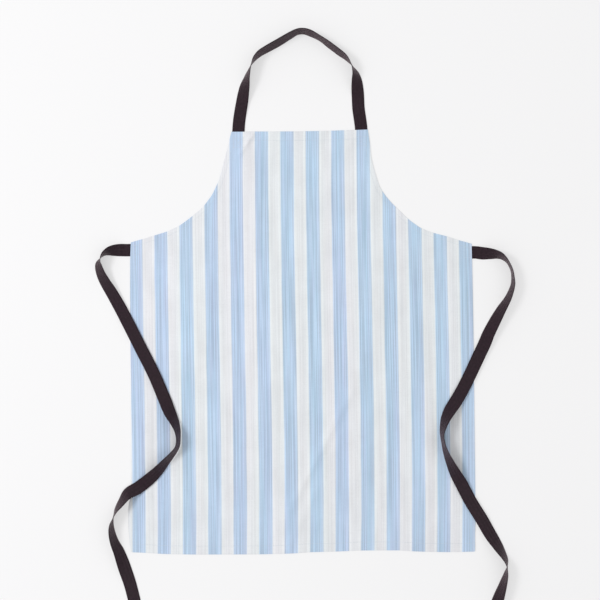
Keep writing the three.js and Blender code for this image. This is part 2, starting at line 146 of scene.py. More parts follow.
# ---- canvas body panel ----
# One cut of yarn-dyed striped cotton canvas: bib, curved armholes and a straight skirt.
# Its rim turns over all round into the hems, so the stripes run on round every edge.
# Lengths are in millimetres from the bottom edge's middle, and to_row moves them to the row.
MM = 0.001
HALF_WIDTH = 345.0
BODY_LENGTH = 850.0
ORIGIN_Y = 527.02
PANEL_MIDDLE, PANEL_THICKNESS = 2.0, 0.6    # its middle's height off the table
ROLL_RADIUS, ROLL_RADIUS_PRESSED = 0.725, 0.27
ROLL_ANGLES = (25, 50, 75, 100, 125, 150, 180)
LEFT_SIDE = [
    (-348.2, 0), (-350.8, 20), (-353.2, 50), (-353.6, 84), (-350.8, 102), (-348.2, 114),
    (-347.2, 150), (-347, 240), (-347.6, 400), (-347.4, 520), (-347, 600), (-346, 626),
]
LEFT_ARMHOLE = [
    (-346, 626), (-323, 632), (-299, 639), (-272, 647), (-246, 659), (-225, 674), (-205, 691),
    (-195, 700), (-179, 721), (-168, 744), (-160, 768), (-151, 803), (-144, 828), (-139, 850),
]
RIGHT_SIDE = [
    (343.2, -1), (344.6, 10), (342.6, 27), (344.8, 44), (345.4, 120), (345.6, 260), (346, 400),
    (345.6, 520), (345.2, 600), (345, 616),
]
RIGHT_ARMHOLE = [
    (345, 616), (320, 623), (297, 631), (270, 638), (242, 649), (219, 666), (200, 685),
    (183, 702), (170, 718), (160, 735), (151, 764), (144, 792), (141, 827), (138, 851),
]
BOTTOM_EDGE = [
    (-348.2, 0), (-321, -1), (-295, -3), (-270, -4), (-216, -5), (-150, -5), (-88, -5),
    (-38, -4), (-12, -3), (13, -1), (65, 0), (115, 2), (194, 2), (218, 0), (244, -1),
    (296, -2), (343.2, -1),
]
TOP_EDGE = [(-139, 850), (-100, 849.6), (-50, 849), (0, 848.6), (60, 849), (105, 850), (138, 851)]
BIB_HEM, ARMHOLE_HEM, SIDE_HEM, BOTTOM_HEM = 20.0, 10.0, 12.0, 18.0
FINE_STEP, PLAIN_STEP = 2.5, 6.0    # the cloth's grid, finer within a band along its rim
FINE_BAND = 30.0
SIDE_LENGTH, ARMHOLE_LENGTH = 620.0, 320.0
BOTTOM_ROWS, TOP_ROWS = 24, 12      # the rows in which the bottom and top edges' curves fade
TAPE_WIDTH = 25.4
SEWN_LENGTH = 35.0
NECK_ANCHOR_X = 125.3
WAIST_ANCHOR_Y = {-1: 611.0, 1: 599.0}
PRESSED_MARGIN, PRESSED_SOFT = 1.0, 3.0
PAST_TOP, PAST_SIDE = 9.0, 12.0     # how far beyond the rim a sewn tape presses
STRIPE_PERIOD = 51.0
# the yarns' colours, and where each lies across one stripe, in millimetres
BLUE, SOFT_BLUE = (0.479, 0.604, 0.761), (0.503, 0.617, 0.784)
PALE_BLUE, HALF_BLUE = (0.533, 0.638, 0.784), (0.644, 0.708, 0.799)
WHITE_YARN, BRIGHT_WHITE = (0.753, 0.768, 0.799), (0.799, 0.823, 0.847)
RIM_WHITE, TINTED_WHITE = (0.776, 0.807, 0.839), (0.723, 0.768, 0.823)
STRIPE_STOPS = [
    (0.0, TINTED_WHITE), (0.6, HALF_BLUE), (1.2, PALE_BLUE), (2.2, BLUE), (18.0, BLUE),
    (21.0, SOFT_BLUE), (24.4, PALE_BLUE), (26.3, PALE_BLUE), (26.9, HALF_BLUE),
    (27.5, RIM_WHITE), (29.5, BRIGHT_WHITE), (33.0, WHITE_YARN), (45.0, WHITE_YARN),
    (48.0, BRIGHT_WHITE), (50.2, RIM_WHITE), (51.0, TINTED_WHITE),
]


def smooth_share(value):
    share = min(1.0, max(0.0, value))
    return share * share * (3 - 2 * share)


def over_tape(x, y):
    """1 where the hem's layers are pressed over a sewn tape end, 0 elsewhere."""
    share = 0.0
    reach = 0.5 * TAPE_WIDTH + PRESSED_MARGIN
    for side in (-1, 1):
        neck_x, waist_y = side * NECK_ANCHOR_X, WAIST_ANCHOR_Y[side]
        bottom = BODY_LENGTH - SEWN_LENGTH - PRESSED_MARGIN
        ends = sorted((side * (HALF_WIDTH + PAST_SIDE),
                       side * (HALF_WIDTH - SEWN_LENGTH - PRESSED_MARGIN)))
        for left, right, low, high in (
            (neck_x - reach, neck_x + reach, bottom, BODY_LENGTH + PAST_TOP),
            (ends[0], ends[1], waist_y - reach, waist_y + reach),
        ):
            apart = max(left - x, x - right, low - y, y - high)
            share = max(share, 1 - smooth_share(apart / PRESSED_SOFT))
    return share


LEFT_LINE, RIGHT_LINE, BOTTOM_LINE = -347.0, 345.5, -3.0
ARMHOLE_FOOT, ARMHOLE_X = 590.0, 120.0
SIDE_TOP, SIDE_X = 620.0, 300.0
MARK_SLACK, MARK_CLEAR = 1.5, 2.0       # an armhole's marks stand a little apart


def edge_distance(x, y):
    """Roughly how far a point lies inside the panel's rim."""
    side = x - LEFT_LINE if x < 0 else RIGHT_LINE - x
    near = min(side, y - BOTTOM_LINE, BODY_LENGTH - y)
    if y > ARMHOLE_FOOT:
        marks = LEFT_ARMHOLE if x < 0 else RIGHT_ARMHOLE
        slack = MARK_SLACK if near > MARK_CLEAR else 0
        near = min(near, min(math.hypot(x - a, y - b) for a, b in marks) + slack)
    return max(0.0, near)


CREASE_PAST, CREASE_FADE = 0.35, 0.5    # shares of a crease's length, beyond and at its ends


def crease(x, y, start, end, height, width):
    """A soft ridge in the cloth between two points, or a valley where its height is negative."""
    ax, ay = end[0] - start[0], end[1] - start[1]
    length = math.hypot(ax, ay)
    along = ((x - start[0]) * ax + (y - start[1]) * ay) / (length * length)
    aside = ((x - start[0]) * ay - (y - start[1]) * ax) / length
    fade = smooth_share((along + CREASE_PAST) / CREASE_FADE)
    fade *= smooth_share((1 + CREASE_PAST - along) / CREASE_FADE)
    return height * fade * math.exp(-(aside / width) ** 2)


CREASES = [                    # start, end, height and width
    ((-122, 806), (-97, 842), 3.2, 4.5),
    ((-106, 800), (-86, 838), -0.4, 5.0),
    ((-14, 108), (86, 294), 3.4, 7.5),
    ((-30, 8), (24, 120), 1.8, 8.0),
    ((-60, 560), (-20, 700), 0.9, 9.0),
    ((112, 836), (92, 806), 0.7, 5.0),
    ((-300, 600), (-230, 560), 0.55, 9.0),
    ((300, 588), (226, 548), 0.5, 9.0),
    ((-20, 480), (30, 160), 0.35, 14.0),
    ((180, 420), (150, 60), 0.35, 12.0),
    ((-210, 380), (-180, 40), 0.35, 13.0),
]
SWELLS = (                     # scale across, scale along, seed and height
    (0.010, 0.0055, 3.1, 0.55), (0.034, 0.021, 7.7, 0.28), (0.11, 0.10, 1.9, 0.05),
)
PUCKER_ALONG, PUCKER_INWARD, PUCKER_SEED = 0.16, 0.03, 5.3
PUCKER_HEIGHT, PUCKER_REACH = 0.30, 16.0
SAG_DEPTH, SAG_START, SAG_RUN = 0.55, 14.0, 22.0
TAPE_CALM = 0.6                # how much of the relief a sewn tape presses out
RIM_RELIEF, RIM_BAND = 0.35, 6.0


def panel_lift(x, y):
    """How far the cloth stands above its pressed-flat height at one place."""
    inside = edge_distance(x, y)
    lift = 0.0
    for across, up, seed, height in SWELLS:
        lift += height * noise.noise(Vector((x * across, y * up, seed)))
    for start, end, height, width in CREASES:
        lift += crease(x, y, start, end, height, width)
    # the seam draws the cloth up into short puckers square to the rim
    along = y if abs(x) > SIDE_X and y < SIDE_TOP else x
    if y > ARMHOLE_FOOT and abs(x) > ARMHOLE_X:
        along = x - y
    pucker = noise.noise(Vector((along * PUCKER_ALONG, inside * PUCKER_INWARD, PUCKER_SEED)))
    lift += PUCKER_HEIGHT * pucker * math.exp(-(inside / PUCKER_REACH) ** 2)
    # inside the hems there is one layer less under the cloth, so it lies lower
    sag = -SAG_DEPTH * smooth_share((inside - SAG_START) / SAG_RUN)
    relief = RIM_RELIEF + (1 - RIM_RELIEF) * smooth_share(inside / RIM_BAND)
    return (1 - TAPE_CALM * over_tape(x, y)) * (lift * relief) + sag


CURVE_DETAIL = 40              # points per mark on a smoothed edge
CURVE_REACH = 10               # points to each side that an edge's corner is softened over


def resample(points, places):
    """Points on a polyline smoothed a little, at shares of its length."""
    line = np.array(points, float)
    steps = np.hypot(*np.diff(line, axis=0).T)
    reach = np.concatenate([[0], np.cumsum(steps)])
    dense = np.linspace(0, reach[-1], CURVE_DETAIL * len(points))
    xs = np.interp(dense, reach, line[:, 0])
    ys = np.interp(dense, reach, line[:, 1])
    span = 2 * CURVE_REACH + 1
    for values in (xs, ys):
        padded = np.concatenate([
            2 * values[0] - values[CURVE_REACH:0:-1], values,
            2 * values[-1] - values[-2:-CURVE_REACH - 2:-1],
        ])
        values[:] = np.convolve(padded, np.ones(span) / span, "valid")
    shares = np.array(places) * reach[-1]
    return np.stack([np.interp(shares, dense, xs), np.interp(shares, dense, ys)], 1)


def graded(length, fine_start, fine_end):
    """Shares from 0 to 1, finely spaced near the chosen ends."""
    marks = [0.0]
    while marks[-1] < length - 1e-6:
        place = marks[-1]
        close = (fine_start and place < FINE_BAND) or (fine_end and place > length - FINE_BAND)
        marks.append(min(length, place + (FINE_STEP if close else PLAIN_STEP)))
    return [m / length for m in marks]


columns = graded(2 * HALF_WIDTH, True, True)
side_rows = graded(SIDE_LENGTH, True, False)
armhole_rows = graded(ARMHOLE_LENGTH, False, True)
left_rim = np.vstack([resample(LEFT_SIDE, side_rows), resample(LEFT_ARMHOLE, armhole_rows)[1:]])
right_rim = np.vstack([resample(RIGHT_SIDE, side_rows), resample(RIGHT_ARMHOLE, armhole_rows)[1:]])
bottom_rim = resample(BOTTOM_EDGE, columns)
top_rim = resample(TOP_EDGE, columns)
left_rim[0], right_rim[0] = bottom_rim[0], bottom_rim[-1]
left_rim[-1], right_rim[-1] = top_rim[0], top_rim[-1]
row_count, column_count = len(left_rim), len(columns)


def ruled(row):
    """One row of the grid, straight from side to side."""
    return np.outer(1 - np.array(columns), left_rim[row]) + np.outer(columns, right_rim[row])


# the curves of the bottom and top edges fade out over the nearest rows
cloth_points = np.zeros((row_count, column_count, 2))
for row in range(row_count):
    low = smooth_share(1 - row / BOTTOM_ROWS)
    high = smooth_share(1 - (row_count - 1 - row) / TOP_ROWS)
    cloth_points[row] = ruled(row) + low * (bottom_rim - ruled(0)) + high * (top_rim - ruled(-1))

CANVAS_LEVELS = {"Roughness": 0.92, "Specular IOR Level": 0.18, "Sheen Weight": 0.05}
# each noise: its scales across and along, detail and seed, its low and high, what they become
CANVAS_NOISES = {
    "wander": (60, 9, 2, 4.0, 0.2, 0.8, -0.0004, 0.0004),
    "thread": (520, 4, 0, 11.0, 0.34, 0.66, -1.0, 1.0),
    "group": (200, 2.5, 1, 23.0, 0.3, 0.7, -1.0, 1.0),
    "hue": (150, 9, 1, 31.0, 0.42, 0.66, 0.0, 0.34),
    "mauve": (110, 7, 1, 37.0, 0.50, 0.72, 0.0, 0.20),
    "warm": (90, 10, 1, 41.0, 0.45, 0.7, 0.0, 0.6),
    "bath": (19, 0.9, 1, 97.0, 0.40, 0.60, 0.0, 1.0),
    "speck": (520, 420, 2, 53.0, 0.3, 0.7, -0.022, 0.022),
    "cloud": (26, 14, 2, 61.0, 0.3, 0.7, -0.030, 0.030),
    "slub": (40, 700, 1, 71.0, 0.3, 0.75, -0.016, 0.012),
    "uneven": (900, 900, 2, 83.0, 0.3, 0.7, -1.2, 1.2),
}
BLUE_END, WHITE_START = 0.50, 0.56      # shares of the stripes' period
THREAD_SHOWS = (0.032, 0.115)           # on the white and on the blue
GROUP_SHOWS = (0.018, 0.026)
SKY_BLUE, MAUVE_BLUE, WARM_WHITE = (0.43, 0.61, 0.78), (0.50, 0.57, 0.80), (1.0, 0.985, 0.975)
BLUE_BATHS = ((1.012, 0.987, 1.004), (0.985, 1.003, 0.993))
WHITE_BATHS = ((1.0, 0.988, 0.992), (0.985, 1.0, 0.988))
WARP_PITCH, WEFT_PITCH = 0.55, 0.65
WEAVE_STRENGTH, WEAVE_DEPTH = 0.35, 0.12
MIX_FIRST, MIX_SECOND, MIX_RESULT = 6, 7, 2     # a Mix node's colour sockets


def feed(links, socket, value):
    """Links a socket to another one, or sets it where the value is plain."""
    if isinstance(value, bpy.types.NodeSocket):
        links.new(value, socket)
    else:
        socket.default_value = value


def reckoner(nodes, links):
    """A function that works out one value from others with a Math node."""
    def reckon(kind, *values):
        node = nodes.new("ShaderNodeMath")
        node.operation = kind
        for socket, value in zip(node.inputs, values):
            feed(links, socket, value)
        return node.outputs["Value"]
    return reckon


def woven_relief(nodes, links, shader, height, strength, depth):
    """Raises a weave a little under the light."""
    relief = nodes.new("ShaderNodeBump")
    relief.inputs["Strength"].default_value = strength
    relief.inputs["Distance"].default_value = depth * MM
    links.new(height, relief.inputs["Height"])
    links.new(relief.outputs["Normal"], shader.inputs["Normal"])


def canvas_finish(name):
    """Yarn-dyed stripes on the cut's own layout: blue and white warp with uneven threads."""
    material, nodes, links, shader = new_finish(name, CANVAS_LEVELS)
    reckon = reckoner(nodes, links)
    cut = nodes.new("ShaderNodeUVMap")
    cut.uv_map = "cut"
    parts = nodes.new("ShaderNodeSeparateXYZ")
    links.new(cut.outputs["UV"], parts.inputs["Vector"])

    def spread(value, low, high, to_low, to_high):
        ranged = nodes.new("ShaderNodeMapRange")
        ranged.inputs["From Min"].default_value = low
        ranged.inputs["From Max"].default_value = high
        ranged.inputs["To Min"].default_value = to_low
        ranged.inputs["To Max"].default_value = to_high
        links.new(value, ranged.inputs["Value"])
        return ranged.outputs["Result"]

    def noisy(kind):
        scale_x, scale_y, detail, seed, *ends = CANVAS_NOISES[kind]
        turn = nodes.new("ShaderNodeMapping")
        turn.inputs["Location"].default_value = (seed, seed * 0.7, 0)
        turn.inputs["Scale"].default_value = (scale_x, scale_y, 1)
        links.new(cut.outputs["UV"], turn.inputs["Vector"])
        drift = nodes.new("ShaderNodeTexNoise")
        drift.noise_dimensions = "2D"
        drift.inputs["Scale"].default_value = 1.0
        drift.inputs["Detail"].default_value = detail
        links.new(turn.outputs["Vector"], drift.inputs["Vector"])
        return spread(drift.outputs["Fac"], *ends)

    def tinted(base, share, colour, kind="MIX"):
        mix = nodes.new("ShaderNodeMix")
        mix.data_type = "RGBA"
        mix.blend_type = kind
        feed(links, mix.inputs["Factor"], share)
        feed(links, mix.inputs[MIX_FIRST], base)
        feed(links, mix.inputs[MIX_SECOND], colour)
        return mix.outputs[MIX_RESULT]

    # the warp wanders by a thread or two, so a stripe's edge is never dead straight
    place = reckon("ADD", parts.outputs["X"], noisy("wander"))
    from_side = reckon("ADD", place, HALF_WIDTH * MM)
    periods = reckon("DIVIDE", from_side, STRIPE_PERIOD * MM)
    phase = reckon("FRACT", reckon("ADD", periods, 4.0))
    stripes = nodes.new("ShaderNodeValToRGB")
    ramp = stripes.color_ramp
    while len(ramp.elements) < len(STRIPE_STOPS):
        ramp.elements.new(0.5)
    for stop, (mark, colour) in zip(ramp.elements, STRIPE_STOPS):
        stop.position = mark / STRIPE_PERIOD
        stop.color = (*colour, 1.0)
    links.new(phase, stripes.inputs["Fac"])
    blue = nodes.new("ShaderNodeValToRGB")
    for stop, mark, level in zip(blue.color_ramp.elements, (BLUE_END, WHITE_START), (1.0, 0.0)):
        stop.position = mark
        stop.color = (level, level, level, 1.0)
    links.new(phase, blue.inputs["Fac"])
    on_blue = blue.outputs["Color"]
    on_white = spread(on_blue, 0.0, 1.0, 1.0, 0.0)

    # darker and lighter warp threads run the cloth's whole length and come and go
    thread_shows = spread(on_blue, 0.0, 1.0, *THREAD_SHOWS)
    group_shows = spread(on_blue, 0.0, 1.0, *GROUP_SHOWS)
    streaks = reckon("ADD", reckon("MULTIPLY", noisy("thread"), thread_shows),
                     reckon("MULTIPLY", noisy("group"), group_shows))
    colour = stripes.outputs["Color"]
    colour = tinted(colour, reckon("MULTIPLY", noisy("hue"), on_blue), (*SKY_BLUE, 1.0))
    colour = tinted(colour, reckon("MULTIPLY", noisy("mauve"), on_blue), (*MAUVE_BLUE, 1.0))
    colour = tinted(colour, noisy("warm"), (*WARM_WHITE, 1.0), "MULTIPLY")
    # each stripe took the dye a little differently along its whole length
    bath = noisy("bath")
    other_bath = spread(bath, 0.0, 1.0, 1.0, 0.0)
    for stripe, tints in ((on_blue, BLUE_BATHS), (on_white, WHITE_BATHS)):
        for share, tint in zip((bath, other_bath), tints):
            colour = tinted(colour, reckon("MULTIPLY", share, stripe), (*tint, 1.0), "MULTIPLY")
    # slubs and small unevenness in the weave
    level = reckon("ADD", reckon("ADD", noisy("speck"), noisy("cloud")),
                   reckon("ADD", noisy("slub"), streaks))
    colour = tinted(colour, 1.0, reckon("ADD", level, 1.0), "MULTIPLY")
    links.new(colour, shader.inputs["Base Color"])

    # plain weave in relief: warp and weft crowns about half a millimetre apart
    warp_turn, weft_turn = 2 * math.pi / (WARP_PITCH * MM), 2 * math.pi / (WEFT_PITCH * MM)
    across = reckon("SINE", reckon("MULTIPLY", parts.outputs["X"], warp_turn))
    along = reckon("SINE", reckon("MULTIPLY", parts.outputs["Y"], weft_turn))
    height = reckon("ADD", reckon("MULTIPLY", across, along), noisy("uneven"))
    woven_relief(nodes, links, shader, height, WEAVE_STRENGTH, WEAVE_DEPTH)
    return material


canvas = canvas_finish("striped_canvas")


GRAIN_BOW = (-0.94, -2.48, 1.58, 2.33)      # by powers of the share across, from none
GRAIN_LEAN = (-12.49, 37.64, -23.68)        # by powers of the share up, from the first
GRAIN_SKEW = (6.69, -8.88, -0.71)


def grain_shift(x, y):
    """How far the stripes lean aside, as the cloth was not cut quite along its grain."""
    u, v = x / HALF_WIDTH, y / BODY_LENGTH
    bow = sum(part * u ** power for power, part in enumerate(GRAIN_BOW))
    lean = sum(part * v ** power for power, part in enumerate(GRAIN_LEAN, 1))
    up, steady, aside = GRAIN_SKEW
    return bow + lean + u * v * (up * v + steady + aside * u)


def to_row(x, y, z):
    return (x * MM, (y - ORIGIN_Y) * MM, z * MM)


panel_points, panel_cut, panel_faces = [], [], []
for x, y in cloth_points.reshape(-1, 2):
    panel_points.append([x, y, PANEL_MIDDLE + panel_lift(x, y)])
    panel_cut.append((x, y))
for row in range(row_count - 1):
    for column in range(column_count - 1):
        a = row * column_count + column
        panel_faces.append((a, a + 1, a + 1 + column_count, a + column_count))
rim = list(range(column_count))
rim += [r * column_count + column_count - 1 for r in range(1, row_count)]
rim += [(row_count - 1) * column_count + c for c in range(column_count - 2, -1, -1)]
rim += [r * column_count for r in range(row_count - 2, 0, -1)]
rim_places = np.array([panel_points[i] for i in rim])
ahead = np.roll(rim_places, -1, 0)[:, :2] - np.roll(rim_places, 1, 0)[:, :2]
ahead /= np.linalg.norm(ahead, axis=1)[:, None]
rim_out = np.stack([ahead[:, 1], -ahead[:, 0]], 1)
rolled = list(rim)
for angle in ROLL_ANGLES:
    turn = math.radians(angle)
    ring = []
    for (x, y, z), (out_x, out_y) in zip(rim_places, rim_out):
        radius = ROLL_RADIUS + (ROLL_RADIUS_PRESSED - ROLL_RADIUS) * over_tape(x, y)
        reach, drop = radius * math.sin(turn), radius * (1 - math.cos(turn))
        ring.append(len(panel_points))
        panel_points.append([x + out_x * reach, y + out_y * reach, z - drop])
        arc = radius * turn
        panel_cut.append((x + out_x * arc, y + out_y * arc))
    for i in range(len(rim)):
        k = (i + 1) % len(rim)
        panel_faces.append((rolled[i], ring[i], ring[k], rolled[k]))
    rolled = ring


def applied(thing):
    """A plain mesh of a thing with its modifiers worked in."""
    graph = bpy.context.evaluated_depsgraph_get()
    return bpy.data.meshes.new_from_object(thing.evaluated_get(graph))


def cloth_piece(name, points, cut, faces, thickness):
    """A sheet at its middle surface, with its cut laid out as a UV map, given its thickness."""
    piece = mesh_piece(name, [to_row(*p) for p in points], faces, canvas)
    layout = piece.data.uv_layers.new(name="cut")
    for loop in piece.data.loops:
        x, y = cut[loop.vertex_index]
        layout.data[loop.index].uv = ((x + grain_shift(x, y)) * MM, y * MM)
    piece.data.polygons.foreach_set("use_smooth", [True] * len(piece.data.polygons))
    wall = piece.modifiers.new("thickness", "SOLIDIFY")
    wall.thickness = thickness * MM
    wall.offset = 0.0
    wall.use_even_offset = False
    made = applied(piece)
    made.name = name
    piece.modifiers.clear()
    piece.data = made
    return piece


panel = cloth_piece("canvas_panel", panel_points, panel_cut, panel_faces, PANEL_THICKNESS)
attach(panel, "panel")
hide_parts("body_panel")


# ---- hems ----
# The panel's rim, turned to the back twice so no raw edge shows and sewn down flat: deep at
# the bib and the bottom, narrow round the armholes. The sewn tape ends press them thin.
HEM_LAYER = 0.5
HEM_BACK, HEM_MIDDLE = 0.55, 1.25
HEM_BACK_PRESSED, HEM_MIDDLE_PRESSED = 1.48, 1.60
TURNED_IN, TURNED_SHARE = 8.0, 0.6      # the raw edge's turn, and its most for a hem's depth
HEM_FOLLOWS = 0.8                       # how much of the panel's relief a hem takes up
CORNER_DEPTH, CORNER_SOFT = 1.2, 2.0

rim_total = len(rim)
bottom_right = column_count - 1
right_corner = bottom_right + len(side_rows) - 1
top_right = bottom_right + row_count - 1
top_left = top_right + column_count - 1
left_corner = top_left + row_count - len(side_rows)


def rim_run(first, last):
    """The rim from one mark to another: each place, its way out and its distance along."""
    marks = [i % rim_total for i in range(first, last + 1)]
    places = rim_places[marks]
    reach = [0.0]
    for a, b in zip(places, places[1:]):
        reach.append(reach[-1] + math.hypot(b[0] - a[0], b[1] - a[1]))
    return list(zip(places, rim_out[marks], reach))


def hem_depth_at(width, *ends):
    """A hem narrows to its fold where the next hem crosses it at a corner."""
    shares = [smooth_share((apart - gap) / CORNER_SOFT) for apart, gap in ends if gap]
    return CORNER_DEPTH + (width - CORNER_DEPTH) * min(shares, default=1.0)


def hem_piece(name, nodes, first, last, width, start_gap=0.0, end_gap=0.0):
    """One hem, from the rim's roll back under the panel, round its fold and in above itself."""
    run = rim_run(first, last)
    fold = 0.5 * (HEM_MIDDLE - HEM_BACK)
    points, cut, faces = [], [], []
    for place, out, at in run:
        deep = hem_depth_at(width, (at, start_gap), (run[-1][2] - at, end_gap))
        turned = min(TURNED_IN, TURNED_SHARE * deep)
        # offsets inwards, and the layer each lies in: 0 the hem's back, 1 the turned edge
        profile = [
            (0.0, 0), (-0.25 * deep, 0), (-0.5 * deep, 0), (-0.75 * deep, 0), (fold - deep, 0),
            (0.3 * fold - deep, 0.15), (-deep, 0.5), (0.3 * fold - deep, 0.85),
            (fold - deep, 1), (0.5 * turned - deep, 1), (turned - deep, 1),
        ]
        travelled, before = math.pi * ROLL_RADIUS, 0.0
        for offset, layer in profile:
            travelled += abs(offset - before)
            before = offset
            x, y = place[0] + out[0] * offset, place[1] + out[1] * offset
            pressed = over_tape(x, y)
            low = HEM_BACK + (HEM_BACK_PRESSED - HEM_BACK) * pressed
            high = HEM_MIDDLE + (HEM_MIDDLE_PRESSED - HEM_MIDDLE) * pressed
            rise = place[2] - PANEL_MIDDLE
            rise += (panel_lift(x, y) - rise) * HEM_FOLLOWS
            points.append([x, y, low + (high - low) * layer + rise])
            cut.append((place[0] + out[0] * travelled, place[1] + out[1] * travelled))
    ring = len(profile)
    for station in range(len(run) - 1):
        for k in range(ring - 1):
            a = station * ring + k
            faces.append((a, a + 1, a + 1 + ring, a + ring))
    piece = cloth_piece(name, points, cut, faces, HEM_LAYER)
    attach(piece, "panel")
    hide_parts(*nodes)
    return piece


hems = [hem_piece(*facts) for facts in (
    ("hem_bottom", ["bottom_hem"], 0, bottom_right, BOTTOM_HEM),
    ("hem_side_right", ["side_hem_right"], bottom_right, right_corner, SIDE_HEM, BOTTOM_HEM),
    ("hem_armhole_right", ["armhole_hem_right"], right_corner, top_right, ARMHOLE_HEM,
     SIDE_HEM, BIB_HEM),
    ("hem_bib", ["bib_hem"], top_right, top_left, BIB_HEM),
    ("hem_armhole_left", ["armhole_hem_left"], top_left, left_corner, ARMHOLE_HEM,
     BIB_HEM, SIDE_HEM),
    ("hem_side_left", ["side_hem_left"], left_corner, rim_total, SIDE_HEM, 0.0, BOTTOM_HEM),
)]


# ---- topstitching and box tacks ----
# Lockstitch in pale cotton: one row along every hem, a crossed box through each end of the
# neck strap and a plain box through each waist tie. The same row shows on the back.
STITCH_SIZES = {
    "Stitch pitch": 3.1, "Stitch span": 2.5, "Thread width": 0.62, "Thread height": 0.42,
}
STITCH_SLANTS = (0.0, -0.02, -0.07), (0.0, 0.02, 0.07)
STITCH_SCALES = (0.88, 0.9, 0.9), (1.06, 1.1, 1.1)
STITCH_SIDES, STITCH_RINGS = 8, 5
STITCH_INSET = 2.0
FRONT_PROUD, BACK_PROUD, TACK_PROUD = 0.05, 0.02, 0.06      # thread middles off the cloth
TACK_MARGIN, TACK_DETAIL = 3.0, 2.0
WAIST_TACK = 12.0
PANEL_TOP = PANEL_MIDDLE + 0.5 * PANEL_THICKNESS
THREAD_LEVELS = {"Roughness": 0.7, "Specular IOR Level": 0.25}
THREAD_TWIST, THREAD_SHADE = 2600.0, 0.78


def thread_finish(name, colour):
    shaded = [THREAD_SHADE * c for c in colour]
    return patchy_finish(name, THREAD_LEVELS, THREAD_TWIST, shaded, colour)


pale_thread = thread_finish("pale_cotton_thread", (0.66, 0.72, 0.78))
dark_thread = thread_finish("dark_cotton_thread", (0.075, 0.055, 0.062))


def stitch_tree(name, finish, seed):
    """Lays thread spans along a drawn line, each with a little slant and length of its own."""
    tree = bpy.data.node_groups.new(name, "GeometryNodeTree")
    face = tree.interface
    face.new_socket("Geometry", in_out="INPUT", socket_type="NodeSocketGeometry")
    for label, value in STITCH_SIZES.items():
        socket = face.new_socket(label, in_out="INPUT", socket_type="NodeSocketFloat")
        socket.default_value = value * MM
    face.new_socket("Geometry", in_out="OUTPUT", socket_type="NodeSocketGeometry")
    add = tree.nodes.new

    def chance(ends, seed):
        node = add("FunctionNodeRandomValue")
        node.data_type = "FLOAT_VECTOR"
        node.inputs["Min"].default_value, node.inputs["Max"].default_value = ends
        node.inputs["Seed"].default_value = seed
        return node

    given, made = add("NodeGroupInput"), add("NodeGroupOutput")
    line = add("GeometryNodeMeshToCurve")
    spaced = add("GeometryNodeResampleCurve")
    spaced.mode = "LENGTH"
    run = add("GeometryNodeInputTangent")
    facing = add("FunctionNodeAlignRotationToVector")
    facing.axis = "X"
    bead = add("GeometryNodeMeshUVSphere")
    bead.inputs["Segments"].default_value = STITCH_SIDES
    bead.inputs["Rings"].default_value = STITCH_RINGS
    bead.inputs["Radius"].default_value = 0.5
    size = add("ShaderNodeCombineXYZ")
    shape = add("GeometryNodeTransform")
    slant = chance(STITCH_SLANTS, seed)
    turned = add("FunctionNodeEulerToRotation")
    both = add("FunctionNodeRotateRotation")
    both.rotation_space = "LOCAL"
    scale = chance(STITCH_SCALES, seed + 1)
    laid = add("GeometryNodeInstanceOnPoints")
    real = add("GeometryNodeRealizeInstances")
    smooth = add("GeometryNodeSetShadeSmooth")
    painted = add("GeometryNodeSetMaterial")
    painted.inputs["Material"].default_value = finish
    for source, output, target, entry in (
        (given, "Geometry", line, "Mesh"), (line, "Curve", spaced, "Curve"),
        (given, "Stitch pitch", spaced, "Length"), (spaced, "Curve", laid, "Points"),
        (run, "Tangent", facing, "Vector"), (slant, 0, turned, "Euler"),
        (facing, "Rotation", both, "Rotation"), (turned, "Rotation", both, "Rotate By"),
        (both, "Rotation", laid, "Rotation"), (given, "Stitch span", size, "X"),
        (given, "Thread width", size, "Y"), (given, "Thread height", size, "Z"),
        (bead, "Mesh", shape, "Geometry"), (size, "Vector", shape, "Scale"),
        (shape, "Geometry", laid, "Instance"), (scale, 0, laid, "Scale"),
        (laid, "Instances", real, "Geometry"), (real, "Geometry", smooth, "Geometry"),
        (smooth, "Geometry", painted, "Geometry"), (painted, "Geometry", made, "Geometry"),
    ):
        tree.links.new(source.outputs[output], target.inputs[entry])
    return tree


def sewn_piece(name, lines, tree, body, nodes):
    """Stitches along each line of points, as one plain mesh that rides on a body."""
    points, edges = [], []
    for line in lines:
        start = len(points)
        points += [to_row(*p) for p in line]
        edges += [(start + i, start + i + 1) for i in range(len(line) - 1)]
    guide_mesh = bpy.data.meshes.new(name + "_line")
    guide_mesh.from_pydata(points, edges, [])
    guide = bpy.data.objects.new(name + "_line", guide_mesh)
    bpy.context.scene.collection.objects.link(guide)
    sewing = guide.modifiers.new("sewing", "NODES")
    sewing.node_group = tree
    sockets = {s.name: s.identifier for s in tree.interface.items_tree if s.in_out == "INPUT"}
    for label, value in STITCH_SIZES.items():
        sewing[sockets[label]] = value * MM
    made = applied(guide)
    made.name = name
    bpy.data.objects.remove(guide)
    piece = bpy.data.objects.new(name, made)
    bpy.context.scene.collection.objects.link(piece)
    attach(piece, body)
    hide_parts(*nodes)
    return piece


pale_sewing = stitch_tree("pale sewing", pale_thread, 17)


def on_panel(x, y):
    return PANEL_TOP + panel_lift(x, y) + FRONT_PROUD


def under_tape(x, y):
    return TACK_PROUD


